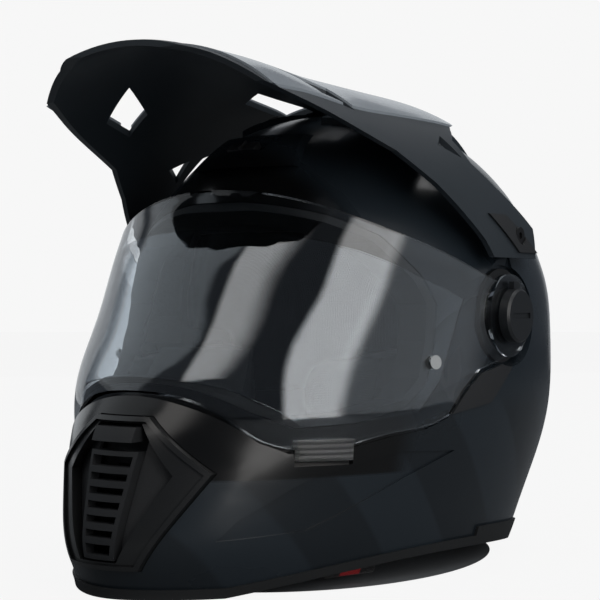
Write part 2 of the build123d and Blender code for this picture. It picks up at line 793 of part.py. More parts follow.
def shield_front(z):
    """The shield's reach ahead at height z."""
    rows = [(up * shell_height, fore * chin_reach) for up, fore in shield_row_shares]
    for (low, near), (high, far) in zip(rows, rows[1:]):
        if low <= z <= high:
            return near + (far - near) * (z - low) / (high - low)
    return rows[-1][1]


shield_length = shield_front(pin_z) + shield_centre
pin_x = shield_half_width * math.sqrt(1 - ((pin_y - shield_centre) / shield_length) ** 2)
pin_slope = (shield_front(pin_z + pin_radius) - shield_front(pin_z - pin_radius)) / (pin_radius + pin_radius)
pin_lean = -pin_slope * (pin_y - shield_centre) ** 2 / shield_length ** 3
pin_normal = (pin_x / shield_half_width ** 2, (pin_y - shield_centre) / shield_length ** 2, pin_lean)
pin_plane = Plane((pin_x, pin_y, pin_z), z_dir=pin_normal)


def pin_bar(radius, back, front):
    """A round bar on the pin's axis between two depths, on both sides."""
    bar = Cylinder(radius, front - back, align=(Align.CENTER, Align.CENTER, Align.MIN))
    return both(pin_plane * (Pos(0, 0, back) * bar))


pin_back = -shield_wall - insert_gap - insert_wall
nodes["face_shield"] = shield - pin_bar(pin_shank_radius + pin_fit, pin_back - shell_wall, shell_wall)
insert = shield_form(shield_wall + insert_gap) - shield_form(shield_wall + insert_gap + insert_wall)
insert = insert & cut_side(yz(insert_outline_shares))
nodes["antifog_insert"] = insert - pin_bar(pin_shank_radius + pin_fit, pin_back - shell_wall, shell_wall)
pins = pin_bar(pin_shank_radius, pin_back - skin_gap, pin_seat_gap)
pins += pin_bar(pin_radius, pin_seat_gap, pin_head + pin_seat_gap)
nodes["insert_pins"] = pins + pin_bar(pin_radius, pin_back - skin_gap - pin_back_head, pin_back - skin_gap)

# Pivot plates and caps
plate = across(plate_radius, shell_face, shell_face + plate_thickness, 0, pivot_height)
boss_top = shell_face + plate_thickness + plate_boss_height
plate += across(plate_boss_radius, shell_face + plate_thickness, boss_top, 0, pivot_height)
plate += across(hub_radius, boss_top, pivot_face + hub_proud, 0, pivot_height)
plate -= across(cap_stem_radius + hub_fit, shell_face, pivot_face + shell_wall, 0, pivot_height)
nodes["pivot_plates"] = both(plate)
cap_back = pivot_face + hub_proud + seam_gap
cap = Cylinder(cap_radius, cap_thickness, align=(Align.CENTER, Align.CENTER, Align.MIN))
cap = chamfer(cap.edges().group_by(Axis.Z)[-1], cap_chamfer)
cap_rim = cap_radius + cap_tab_length / 2
cap += Pos(0, cap_rim - cap_chamfer, cap_tab_thickness / 2) * Box(cap_tab_width, cap_tab_length + cap_chamfer, cap_tab_thickness)
cap -= Pos(0, 0, cap_thickness) * Box(cap_radius + cap_stem_radius, cap_groove_width, cap_groove_depth + cap_groove_depth)
stem = Cylinder(cap_stem_radius, cap_stem_length, align=(Align.CENTER, Align.CENTER, Align.MAX))
cap = Plane((cap_back, 0, pivot_height), x_dir=(0, 1, 0), z_dir=(1, 0, 0)) * (cap + stem)
nodes["pivot_cap_left"] = cap
nodes["pivot_cap_right"] = mirrored(cap)

# Covers under the ends of the shield
cover = left_half(body(-cover_proud) - body(-skin_gap)) & cut_side(yz(cover_shares))
cover = cover - pocket_forms(0) - shield_region(shield_border)
nodes["side_covers"] = both(cover)

# Peak with its ears, windows, holes and slot
screw_fore, screw_up = peak_screw_shares
screw_y = -screw_fore * chin_reach
screw_z = screw_up * shell_height
peak = (arch_form(0) - arch_form(peak_wall)) & cut_side(yz(peak_side_shares))
ear = across(peak_ear_radius, peak_ear_face, peak_half_width, screw_y, screw_z)
peak += both(ear) & arch_form(0)
window_low = peak_window_low_share * shell_height
window_cut = Part()
for corners in peak_window_shares:
    points = [(across_share * peak_half_width, -fore * chin_reach) for across_share, fore in corners]
    window_cut += both(cut_plan(points, window_low, shell_height + overrun))
top_y = -top_screw_share * chin_reach
slot_half = peak_screw_radius + top_slot_fit
slot_front = top_y - top_slot_length + top_slot_rear
slot_rear = top_y + top_slot_rear
slot = slab(-slot_half, slot_half, slot_front, slot_rear, window_low, shell_height + overrun)
for end in (slot_front, slot_rear):
    slot += Pos(0, end, shell_height) * Cylinder(slot_half, overrun + overrun)
head_bar = both(across(peak_screw_head + seam_gap, peak_head_face, peak_half_width + overrun, screw_y, screw_z))
shank_bar = both(across(peak_screw_radius + peak_screw_fit, shell_face, peak_half_width + overrun, screw_y, screw_z))
nodes["peak"] = peak - window_cut - slot - head_bar - shank_bar

panel_half = panel_half_share * peak_half_width
panel_room = slab(-panel_half, panel_half, -panel_front_share * chin_reach, -panel_rear_share * chin_reach, window_low, shell_height + overrun)
panel = (arch_form(-panel_wall) - arch_form(-skin_gap)) & panel_room & cut_side(yz(peak_side_shares))
nodes["peak_top_panel"] = panel - window_cut - slot
arm_cover = left_half(arch_form(-panel_wall) - arch_form(-skin_gap)) & cut_side(yz(screw_cover_shares))
arm_cover = arm_cover - head_bar
nodes["peak_screw_covers"] = both(arm_cover)

# Peak's side screws on their bushes, and the crown screw on its boss
bush = across(peak_bush_radius, shell_face - plate_radius, peak_ear_face - seam_gap, screw_y, screw_z)
shank = across(peak_screw_radius, peak_ear_face - seam_gap - peak_screw_grip, peak_head_face + seam_gap, screw_y, screw_z)
bush = (bush - body(-skin_gap)) - across(peak_screw_radius, peak_ear_face - seam_gap - peak_screw_grip, peak_half_width, screw_y, screw_z)
nodes["peak_bushes"] = both(bush)
head_base = peak_head_face + seam_gap
side_screw = shank + across(peak_screw_head, head_base, head_base + peak_screw_head_height, screw_y, screw_z)
socket = RegularPolygon(peak_screw_socket, 6)
socket_plane = Plane((head_base + peak_screw_head_height - peak_screw_recess, screw_y, screw_z), z_dir=(1, 0, 0))
side_screw -= extrude(socket_plane * socket, amount=peak_screw_recess)
nodes["peak_side_screws"] = both(side_screw)


def crest_at(y):
    """The height of the peak's outer surface on the middle line."""
    rows = [(-fore * chin_reach, high * peak_crest) for fore, wide, high in peak_station_shares]
    for (near, low), (far, high) in zip(rows, rows[1:]):
        if near <= y <= far:
            return low + (high - low) * (y - near) / (far - near)
    return rows[-1][1]


crest = crest_at(top_y)
boss_high = crest - peak_wall - crown_boss_gap
post = Pos(0, top_y, boss_high) * Cylinder(crown_boss_radius, overrun, align=(Align.CENTER, Align.CENTER, Align.MAX))
crown_shank_low = boss_high - peak_wall
post = (post - body(-skin_gap)) - Pos(0, top_y, crown_shank_low) * Cylinder(peak_screw_radius, overrun, align=(Align.CENTER, Align.CENTER, Align.MIN))
nodes["crown_boss"] = post
washer_low = crest + panel_wall + top_washer_gap
top_screw = Pos(0, top_y, crown_shank_low) * Cylinder(peak_screw_radius, washer_low - crown_shank_low, align=(Align.CENTER, Align.CENTER, Align.MIN))
top_screw += Pos(0, top_y, washer_low) * Cylinder(top_washer_radius, top_washer_height, align=(Align.CENTER, Align.CENTER, Align.MIN))
head_low = washer_low + top_washer_height
top_screw += Pos(0, top_y, head_low) * Cylinder(peak_screw_head, peak_screw_head_height, align=(Align.CENTER, Align.CENTER, Align.MIN))
head_top_z = head_low + peak_screw_head_height
top_screw -= Pos(0, top_y, head_top_z - peak_screw_recess) * extrude(socket, amount=peak_screw_recess)
nodes["crown_screw"] = top_screw

# Forehead and crown vents
forehead_low, forehead_high = (share * shell_height for share in forehead_shares)
forehead_front = cut_front(
    [(-forehead_low_half, forehead_low), (forehead_low_half, forehead_low),
     (forehead_high_half, forehead_high), (-forehead_high_half, forehead_high)],
    0, -chin_reach,
)
housing_skin = body(-vent_housing_proud) - body(-skin_gap)


def slider_room(length, width, grow):
    """The space of a slider over its whole travel, grown by grow."""
    height = vent_housing_proud + vent_housing_proud
    return Pos(slider_travel / 2, 0, slider_lift - grow + height / 2) * Box(
        length + slider_travel + grow + grow, width + grow + grow, height
    )


def slider_form(length, width):
    """A slider with a finger ridge across its middle."""
    height = vent_housing_proud + slider_proud - slider_lift
    form = Pos(0, 0, slider_lift + height / 2) * Box(length, width, height)
    return form + Pos(0, 0, slider_lift + height + slider_ridge / 2) * Box(slider_ridge, width, slider_ridge)


start = Pos(-slider_travel / 2, 0, 0)
nodes["forehead_vent"] = (housing_skin & forehead_front) - forehead_plane * (start * slider_room(slider_length, slider_width, slider_gap))
nodes["forehead_vent_slider"] = forehead_plane * (start * slider_form(slider_length, slider_width))
crown_points = [(x * shell_half_width, -y * chin_reach) for x, y in crown_vent_shares]
crown_block = housing_skin & cut_plan(crown_points, window_low, shell_height + overrun)
crown_vent = crown_block - crown_plane * (start * slider_room(crown_slider_length, crown_slider_width, slider_gap))
nodes["crown_vents"] = both(crown_vent)
crown_slider = crown_plane * (start * slider_form(crown_slider_length, crown_slider_width))
nodes["crown_vent_slider_left"] = crown_slider
nodes["crown_vent_slider_right"] = mirrored(crown_slider)

# Rear spoiler
spoiler = (body(-spoiler_proud) - body(-skin_gap)) & cut_side(yz(spoiler_shares), spoiler_half)
slot_low, slot_high = (share * shell_height for share in spoiler_slot_shares)
for step in range(spoiler_slot_count):
    level = slot_low + (slot_high - slot_low) * step / (spoiler_slot_count - 1)
    spoiler -= slab(-spoiler_slot_half, spoiler_slot_half, 0, rear_reach + overrun, level, level + spoiler_slot_height)
nodes["rear_spoiler"] = spoiler

# Chin straps, anchors and rings
strap_y = strap_station_share * rear_reach
anchor_z = strap_anchor_share * shell_height
anchor = body(shell_wall + skin_gap) - body(shell_wall + skin_gap + strap_anchor_thickness)
anchor = left_half(anchor) & slab(
    0, wide, strap_y - strap_anchor_width / 2, strap_y + strap_anchor_width / 2,
    anchor_z - strap_anchor_height / 2, anchor_z + strap_anchor_height / 2,
)
nodes["strap_anchors"] = both(anchor)
route = [(x * shell_half_width, z * shell_height) for x, z in strap_route_shares]


def webbing(points):
    """Flat webbing along a route in X and Z."""
    line = Polyline(*points)
    face = make_face(offset(line, strap_thickness / 2, kind=Kind.INTERSECTION, side=Side.BOTH))
    plane = Plane((0, strap_y + strap_width / 2, 0), x_dir=(1, 0, 0), z_dir=(0, -1, 0))
    return extrude(plane * face, amount=strap_width)


loop_x, loop_z = route[-1]
bar_hole = ring_wire + ring_swing_gap
loop_radius = bar_hole + loop_wall
strap_end = strap_y + strap_width / 2


def along_y(radius, x, z, half):
    """A round bar along Y."""
    return Plane((x, strap_y + half, z), z_dir=(0, -1, 0)) * Cylinder(
        radius, half + half, align=(Align.CENTER, Align.CENTER, Align.MIN)
    )


strap = webbing(route)
loop = along_y(loop_radius, loop_x, loop_z, strap_width / 2) + along_y(loop_radius, loop_x, loop_z + ring_spacing, strap_width / 2)
loop += slab(loop_x - loop_radius, loop_x + loop_radius, strap_y - strap_width / 2, strap_end, loop_z, loop_z + ring_spacing)
loop -= along_y(bar_hole, loop_x, loop_z, strap_width)
loop -= along_y(bar_hole, loop_x, loop_z + ring_spacing, strap_width)
short_strap = (strap - along_y(loop_radius - ring_wire / 2, loop_x, loop_z, strap_width)) + loop
nodes["chin_strap_left"] = short_strap
nodes["chin_strap_right"] = mirrored(strap)
ring_half = strap_width / 2 + ring_wire + ring_wire
ring_corner = ring_half - strap_width / 2 - seam_gap
for name, level in (("d_ring_lower", loop_z), ("d_ring_upper", loop_z + ring_spacing)):
    corners = [
        (loop_x, strap_y + ring_half, level), (loop_x - ring_length, strap_y + ring_half, level),
        (loop_x - ring_length, strap_y - ring_half, level), (loop_x, strap_y - ring_half, level),
    ]
    path = FilletPolyline(*corners, radius=ring_corner, close=True)
    start_plane = Plane(path.position_at(0), z_dir=path.tangent_at(0))
    nodes[name] = sweep(start_plane * Circle(ring_wire), path=path)

# Emergency pull tabs of the cheek pads
pull_low, pull_high = (share * shell_height for share in pull_tab_shares)
pull_y = -pull_tab_share * chin_reach
pull_inset = trim_depth + seam_gap
pull = left_half(body(pull_inset) - body(pull_inset + pull_tab_wall))
pull = pull & slab(0, wide, pull_y - pull_tab_length / 2, pull_y + pull_tab_length / 2, pull_low, pull_high)
nodes["pull_tab_left"] = pull
nodes["pull_tab_right"] = mirrored(pull)

# The origin is under the middle of the whole helmet
boxes = [shape.bounding_box() for shape in nodes.values()]
near = min(box.min.Y for box in boxes)
far = max(box.max.Y for box in boxes)
low = min(box.min.Z for box in boxes)
shift = Pos(0, -(near + far) / 2, -low)
for name, shape in nodes.items():
    export_step(shift * shape, f"parts/{name}.step", write_pcurves=False)
print("shift", -(near + far) / 2, -low)
print("pivot", -(near + far) / 2, pivot_height - low)
print("peak screw", screw_y, screw_z, "crown screw", top_y)
print("shutter lean", math.degrees(shutter_lean), "travel", pitch / 2)
print("forehead plane", forehead_plane.origin, forehead_plane.x_dir, forehead_plane.z_dir)
print("crown plane", crown_plane.origin, crown_plane.x_dir, crown_plane.z_dir)
print("rings", loop_x, strap_y, loop_z, loop_z + ring_spacing)
print("nodes", len(nodes))
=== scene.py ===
# %% [markdown]
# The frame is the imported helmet: every hard piece is already there at its real size.
# What is left to do here is to look after the surfaces, and to model what is soft.

# %% Load the frame and measure it
import math

import bmesh
import bpy
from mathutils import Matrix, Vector


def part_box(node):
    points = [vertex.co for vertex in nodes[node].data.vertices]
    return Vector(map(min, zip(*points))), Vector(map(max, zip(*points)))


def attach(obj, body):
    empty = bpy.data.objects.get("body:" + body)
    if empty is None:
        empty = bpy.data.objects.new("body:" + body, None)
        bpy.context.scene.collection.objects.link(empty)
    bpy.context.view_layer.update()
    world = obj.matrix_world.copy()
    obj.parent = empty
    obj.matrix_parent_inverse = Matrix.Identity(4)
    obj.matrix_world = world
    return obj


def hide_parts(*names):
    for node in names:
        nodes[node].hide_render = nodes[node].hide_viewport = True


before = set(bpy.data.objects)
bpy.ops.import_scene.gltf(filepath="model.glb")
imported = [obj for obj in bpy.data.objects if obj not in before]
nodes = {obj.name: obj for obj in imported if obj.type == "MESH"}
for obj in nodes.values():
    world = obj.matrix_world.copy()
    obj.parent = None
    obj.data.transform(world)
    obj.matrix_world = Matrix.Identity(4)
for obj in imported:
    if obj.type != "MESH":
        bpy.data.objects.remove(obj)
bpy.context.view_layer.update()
scene = bpy.context.scene


def middle_of(node):
    """The middle of a frame piece from front to back."""
    low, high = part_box(node)
    return (low[1] + high[1]) / 2


helmet_middle = middle_of("pivot_plates")
print("pieces", len(nodes), "pivots at", round(helmet_middle, 4))

# %% [markdown]
# The photograph was taken level with the face opening, from the wearer's left and front.
# A long lens from under a metre away gives the same spread of near and far edges.

# %% Camera
camera_place = Vector((0.4991, helmet_middle - 0.7110, 0.1423))
camera_turn = math.radians(36)
camera_data = bpy.data.cameras.new("camera")
camera_data.lens = 90.3
camera_data.sensor_width = 36
camera = bpy.data.objects.new("camera", camera_data)
camera.location = camera_place
camera.rotation_euler = (math.radians(90), 0, camera_turn)
scene.collection.objects.link(camera)
scene.camera = camera
print("camera", [round(c, 3) for c in camera.location])

# %% [markdown]
# Studio light for something black is mostly what it reflects.
# Two soft boxes stand where the shield mirrors them as two upright bands, one above the front and
# one off the wearer's left. Both fade out at their sides. Dimmer boxes and a sheet of pale paper
# behind the helmet fill in what the shield and the rims of the shell mirror beside the bands.

# %% Soft boxes and room
scene.view_settings.view_transform = "Standard"
lamp_aim = Vector((0, 0, 0.13))


def soft_box(name, azimuth, elevation, distance, width, height, power, colour=(1, 1, 1),
             feather=None):
    """A rectangular lamp aimed at the helmet; azimuth 0 is in front, 90 at the wearer's left.

    Feather gives the share of its width over which each side fades out.
    """
    lamp = bpy.data.lights.new(name, "AREA")
    lamp.shape = "RECTANGLE"
    lamp.size = width
    lamp.size_y = height
    lamp.energy = power
    lamp.color = colour
    if feather:
        lamp.use_nodes = True
        cloth_front = lamp.node_tree
        across = cloth_front.nodes.new("ShaderNodeNewGeometry")
        parts = cloth_front.nodes.new("ShaderNodeSeparateXYZ")
        cloth_front.links.new(across.outputs["Parametric"], parts.inputs[0])
        product = cloth_front.nodes.new("ShaderNodeMath")
        product.operation = "MULTIPLY"
        for side, (start, end) in enumerate(((0, feather[0]), (1, 1 - feather[1]))):
            fade = cloth_front.nodes.new("ShaderNodeMapRange")
            fade.interpolation_type = "SMOOTHSTEP"
            fade.inputs["From Min"].default_value = start
            fade.inputs["From Max"].default_value = end
            cloth_front.links.new(parts.outputs["X"], fade.inputs["Value"])
            cloth_front.links.new(fade.outputs["Result"], product.inputs[side])
        cloth_front.links.new(product.outputs[0], cloth_front.nodes["Emission"].inputs["Strength"])
    holder = bpy.data.objects.new(name, lamp)
    turn = math.radians(azimuth)
    lift = math.radians(elevation)
    level_share = math.cos(lift)
    away = Vector((math.sin(turn) * level_share, -math.cos(turn) * level_share, math.sin(lift)))
    holder.location = lamp_aim + away * distance
    holder.rotation_euler = away.to_track_quat("Z", "Y").to_euler()
    scene.collection.objects.link(holder)
    return holder


soft_box("front_box", 4, 48, 1.5, 0.80, 0.74, 3.2, (1.0, 0.97, 0.94), feather=(0.15, 0.5))
soft_box("left_box", 65, 20, 1.5, 0.84, 1.70, 12.5, (1.0, 0.98, 0.96), feather=(0.15, 0.25))
soft_box("side_box", 106, 14, 1.8, 2.2, 1.7, 4.6, (0.94, 0.97, 1.0), feather=(0.06, 0.3))
soft_box("top_box", 150, 72, 1.7, 1.4, 1.2, 12)
soft_box("far_box", -66, 38, 1.5, 1.6, 1.4, 2.9, (0.92, 0.97, 1.0), feather=(0.1, 0.1))
back_paper = soft_box(
    "back_paper", -135, 0, 2.0, 3.0, 2.2, 12, (0.94, 0.975, 1.0), feather=(0.1, 0.1)
)
back_paper.visible_transmission = False


def math_node(tree_of, operation, first, second):
    """A math node between two sockets or numbers."""
    node = tree_of.nodes.new("ShaderNodeMath")
    node.operation = operation
    for slot_index, value in enumerate((first, second)):
        if isinstance(value, (int, float)):
            node.inputs[slot_index].default_value = value
        else:
            tree_of.links.new(value, node.inputs[slot_index])
    return node.outputs[0]


def seen_through(tree_of):
    """1 for what the camera sees, also through clear plastic, and 0 for what lights or mirrors."""
    rays = tree_of.nodes.new("ShaderNodeLightPath").outputs
    direct = math_node(tree_of, "MAXIMUM", rays["Is Camera Ray"], rays["Is Transmission Ray"])
    bounces = math_node(tree_of, "ADD", rays["Glossy Depth"], rays["Diffuse Depth"])
    no_bounce = math_node(tree_of, "LESS_THAN", bounces, 0.5)
    return math_node(tree_of, "MULTIPLY", direct, no_bounce)


room = bpy.data.worlds.new("room")
room.use_nodes = True
scene.world = room
tree = room.node_tree
tree.nodes.clear()
dim = tree.nodes.new("ShaderNodeBackground")
dim.inputs["Color"].default_value = (0.80, 0.88, 1.0, 1)
dim.inputs["Strength"].default_value = 0.10
pale = tree.nodes.new("ShaderNodeBackground")
pale.inputs["Color"].default_value = (0.93, 0.93, 0.93, 1)
pale.inputs["Strength"].default_value = 1.0
mixed = tree.nodes.new("ShaderNodeMixShader")
out = tree.nodes.new("ShaderNodeOutputWorld")
tree.links.new(seen_through(tree), mixed.inputs[0])
tree.links.new(dim.outputs[0], mixed.inputs[1])
tree.links.new(pale.outputs[0], mixed.inputs[2])
tree.links.new(mixed.outputs[0], out.inputs["Surface"])

# %% [markdown]
# The floor is a plain pale sheet. It is a wide disc, so no edge of it shows,
# and its own light keeps it level with the pale room behind the helmet. A patch under the helmet
# has a painted shade instead: no light of its own there, and a dark grey colour.

# %% Floor
bpy.ops.object.select_all(action="DESELECT")
floor_radius = 6
floor_drop = 0.0006
shade_half_width = 0.098
shade_half_length = 0.125
own_light_share = 0.97
bpy.ops.mesh.primitive_circle_add(
    vertices=96, radius=floor_radius, fill_type="NGON", location=(0, 0, -floor_drop)
)
floor = bpy.context.object
floor.name = "studio_floor"
paper = bpy.data.materials.new("pale_paper")
paper.use_nodes = True
sheet = paper.node_tree.nodes["Principled BSDF"]
sheet.inputs["Roughness"].default_value = 0.9
sheet.inputs["Specular IOR Level"].default_value = 0.1
paper_tone = paper.node_tree.nodes.new("ShaderNodeMix")
paper_tone.data_type = "RGBA"
# Dark grey: the floor's colour in reflections and bounced light, and its painted shade under the
# helmet.
paper_tone.inputs["A"].default_value = (0.20, 0.21, 0.22, 1)
paper_tone.inputs["B"].default_value = (0.86, 0.86, 0.86, 1)
paper_glow = paper.node_tree.nodes.new("ShaderNodeEmission")
paper_glow.inputs["Color"].default_value = (0.94, 0.94, 0.94, 1)
paper_mix = paper.node_tree.nodes.new("ShaderNodeMixShader")
links = paper.node_tree.links
spot = paper.node_tree.nodes.new("ShaderNodeTexCoord")
ring = paper.node_tree.nodes.new("ShaderNodeMapping")
ring.inputs["Scale"].default_value = (1 / shade_half_width, 1 / shade_half_length, 0)
far = paper.node_tree.nodes.new("ShaderNodeVectorMath")
far.operation = "LENGTH"
links.new(spot.outputs["Object"], ring.inputs["Vector"])
links.new(ring.outputs["Vector"], far.inputs[0])
# Inside this ellipse under the helmet the floor shows a painted shade: no glow, only dark grey.
outside_painted_shade = math_node(paper.node_tree, "GREATER_THAN", far.outputs["Value"], 1.0)
seen_outside_painted_shade = math_node(paper.node_tree, "MULTIPLY", seen_through(paper.node_tree), outside_painted_shade)
links.new(seen_outside_painted_shade, paper_tone.inputs["Factor"])
links.new(paper_tone.outputs["Result"], sheet.inputs["Base Color"])
links.new(math_node(paper.node_tree, "MULTIPLY", seen_outside_painted_shade, own_light_share), paper_mix.inputs[0])
links.new(sheet.outputs[0], paper_mix.inputs[1])
links.new(paper_glow.outputs[0], paper_mix.inputs[2])
links.new(paper_mix.outputs[0], paper.node_tree.nodes["Material Output"].inputs["Surface"])
floor.data.materials.append(paper)
print("floor", floor.name)

# %% [markdown]
# Moulded and painted surfaces are never quite even. Two shader groups make that unevenness once:
# fine grain, the small pits of a mould, and handling marks, the faint changes in gloss that
# fingers and cloths leave. Each material takes them with its own size and depth.

# %% Shader groups for grain and handling marks


def new_group(name, inputs, outputs):
    """An empty shader group with named number inputs and outputs."""
    group = bpy.data.node_groups.new(name, "ShaderNodeTree")
    for label, kind, value in inputs:
        socket = group.interface.new_socket(label, in_out="INPUT", socket_type=kind)
        socket.default_value = value
    for label, kind in outputs:
        group.interface.new_socket(label, in_out="OUTPUT", socket_type=kind)
    entry = group.nodes.new("NodeGroupInput")
    leave = group.nodes.new("NodeGroupOutput")
    return group, entry, leave


grain, entry, leave = new_group(
    "mould_grain",
    [("Scale", "NodeSocketFloat", 900.0), ("Depth", "NodeSocketFloat", 0.2)],
    [("Height", "NodeSocketFloat")],
)
place = grain.nodes.new("ShaderNodeTexCoord")
pits = grain.nodes.new("ShaderNodeTexNoise")
pits.inputs["Detail"].default_value = 4
cells = grain.nodes.new("ShaderNodeTexVoronoi")
grain.links.new(place.outputs["Object"], pits.inputs["Vector"])
grain.links.new(place.outputs["Object"], cells.inputs["Vector"])
grain.links.new(entry.outputs["Scale"], pits.inputs["Scale"])
grain.links.new(entry.outputs["Scale"], cells.inputs["Scale"])
both_heights = math_node(grain, "ADD", pits.outputs["Fac"], cells.outputs["Distance"])
grain_height = math_node(grain, "MULTIPLY", both_heights, entry.outputs["Depth"])
grain.links.new(grain_height, leave.inputs["Height"])

marks, entry, leave = new_group(
    "handling_marks",
    [
        ("Scale", "NodeSocketFloat", 14.0),
        ("Low", "NodeSocketFloat", 0.2),
        ("High", "NodeSocketFloat", 0.3),
    ],
    [("Value", "NodeSocketFloat"), ("Mask", "NodeSocketFloat")],
)
place = marks.nodes.new("ShaderNodeTexCoord")
smears = marks.nodes.new("ShaderNodeTexNoise")
smears.inputs["Detail"].default_value = 6
smears.inputs["Distortion"].default_value = 0.6
marks.links.new(place.outputs["Object"], smears.inputs["Vector"])
marks.links.new(entry.outputs["Scale"], smears.inputs["Scale"])
spread = math_node(marks, "SUBTRACT", entry.outputs["High"], entry.outputs["Low"])
level = math_node(marks, "MULTIPLY", smears.outputs["Fac"], spread)
marks.links.new(math_node(marks, "ADD", level, entry.outputs["Low"]), leave.inputs["Value"])
marks.links.new(smears.outputs["Fac"], leave.inputs["Mask"])
print("groups", [g.name for g in bpy.data.node_groups])

# %% [markdown]
# A finish is one Principled shader with a colour that varies a little, a roughness from the
# handling marks and a bump from the grain. This helper builds one, so each piece's finish is a
# short line of its own values.

# %% Helper for hard finishes


def finish(name, dark, light, rough, coat=0.0, coat_rough=0.05, grain_size=900.0, grain_depth=0.0,
           metallic=0.0, specular=0.5, mark_scale=14.0):
    """A hard surface: two close colours, a range of roughness, a clear coat and a grain."""
    material = bpy.data.materials.new(name)
    material.use_nodes = True
    tree_of = material.node_tree
    shader = tree_of.nodes["Principled BSDF"]
    shader.inputs["Metallic"].default_value = metallic
    shader.inputs["Coat Weight"].default_value = coat
    shader.inputs["Coat Roughness"].default_value = coat_rough
    shader.inputs["Specular IOR Level"].default_value = specular
    wear = tree_of.nodes.new("ShaderNodeGroup")
    wear.node_tree = marks
    wear.inputs["Scale"].default_value = mark_scale
    wear.inputs["Low"].default_value = rough[0]
    wear.inputs["High"].default_value = rough[1]
    tree_of.links.new(wear.outputs["Value"], shader.inputs["Roughness"])
    tone = tree_of.nodes.new("ShaderNodeMix")
    tone.data_type = "RGBA"
    tone.inputs["A"].default_value = (*dark, 1)
    tone.inputs["B"].default_value = (*light, 1)
    tree_of.links.new(wear.outputs["Mask"], tone.inputs["Factor"])
    tree_of.links.new(tone.outputs["Result"], shader.inputs["Base Color"])
    if grain_depth:
        pitting = tree_of.nodes.new("ShaderNodeGroup")
        pitting.node_tree = grain
        pitting.inputs["Scale"].default_value = grain_size
        pitting.inputs["Depth"].default_value = grain_depth
        bump = tree_of.nodes.new("ShaderNodeBump")
        bump.inputs["Strength"].default_value = 0.5
        bump.inputs["Distance"].default_value = 0.0002
        tree_of.links.new(pitting.outputs["Height"], bump.inputs["Height"])
        tree_of.links.new(bump.outputs["Normal"], shader.inputs["Normal"])
    return material


# Each finish: its darker and lighter colour, then the low and high end of its roughness.
shell_paint = finish(
    "shell_paint", (0.0150, 0.0212, 0.0276), (0.0195, 0.0266, 0.0340), (0.24, 0.32),
    coat=0.2, coat_rough=0.12, specular=0.35,
)
peak_satin = finish(
    "peak_satin", (0.019, 0.025, 0.031), (0.025, 0.032, 0.039), (0.38, 0.48),
    grain_size=1500, grain_depth=0.25,
)
panel_gloss = finish(
    "panel_gloss", (0.25, 0.28, 0.31), (0.30, 0.33, 0.36), (0.20, 0.28),
    coat=0.5, coat_rough=0.10,
)
vent_matte = finish(
    "vent_matte", (0.013, 0.014, 0.0155), (0.018, 0.019, 0.021), (0.50, 0.60),
    grain_size=1700, grain_depth=0.35,
)
vent_gloss = finish(
    "vent_gloss", (0.008, 0.0085, 0.009), (0.012, 0.0125, 0.013), (0.26, 0.34),
    coat=0.3, coat_rough=0.12, grain_size=1500, grain_depth=0.15,
)
trim_rubber = finish(
    "trim_rubber", (0.011, 0.012, 0.013), (0.016, 0.017, 0.018), (0.55, 0.68),
    grain_size=1300, grain_depth=0.35,
)
cap_plastic = finish(
    "cap_plastic", (0.012, 0.014, 0.016), (0.017, 0.019, 0.022), (0.36, 0.46),
    grain_size=1500, grain_depth=0.2,
)
bead_foam = finish(
    "bead_foam", (0.010, 0.010, 0.011), (0.018, 0.018, 0.020), (0.7, 0.85),
    grain_size=420, grain_depth=0.9,
)
pin_steel = finish(
    "pin_steel", (0.62, 0.62, 0.60), (0.72, 0.72, 0.70), (0.22, 0.32),
    metallic=1.0, grain_size=2500, grain_depth=0.1,
)
screw_black = finish(
    "screw_black", (0.03, 0.03, 0.032), (0.045, 0.045, 0.047), (0.35, 0.45),
    metallic=0.8,
)
print("finishes ready")

# %% [markdown]
# The shell is painted in two tones. The chin above a line that runs round it is deep gloss black,
# and the rest is a satin blue-grey with faint slanting bands. Both tones are one material, told
# apart by where the paint lies on the shell, so the border is as crisp as a masked edge.

# %% Two-tone paint on the shell


def ramp(tree_of, value, low, high):
    """A smooth step from 0 at low to 1 at high."""
    step = tree_of.nodes.new("ShaderNodeMapRange")
    step.interpolation_type = "SMOOTHSTEP"
    step.inputs["From Min"].default_value = low
    step.inputs["From Max"].default_value = high
    tree_of.links.new(value, step.inputs["Value"])
    return step.outputs["Result"]


def place_of(tree_of):
    """The X, Y and Z of the point that is shaded."""
    where = tree_of.nodes.new("ShaderNodeTexCoord")
    parts = tree_of.nodes.new("ShaderNodeSeparateXYZ")
    tree_of.links.new(where.outputs["Object"], parts.inputs[0])
    return parts.outputs


def toned(tree_of, mask, base, over, socket):
    """Lay one colour or value over a linked one where the mask is 1."""
    blend_node = tree_of.nodes.new("ShaderNodeMix")
    wide_kind = len(over) > 1
    blend_node.data_type = "RGBA" if wide_kind else "FLOAT"
    tree_of.links.new(mask, blend_node.inputs["Factor"])
    first, second = [s for s in blend_node.inputs if s.enabled and s.name in ("A", "B")]
    tree_of.links.new(base, first)
    second.default_value = (*over, 1) if wide_kind else over[0]
    result = [s for s in blend_node.outputs if s.enabled][0]
    tree_of.links.new(result, socket)


def linked_to(socket):
    """What feeds this socket now."""
    return socket.links[0].from_socket


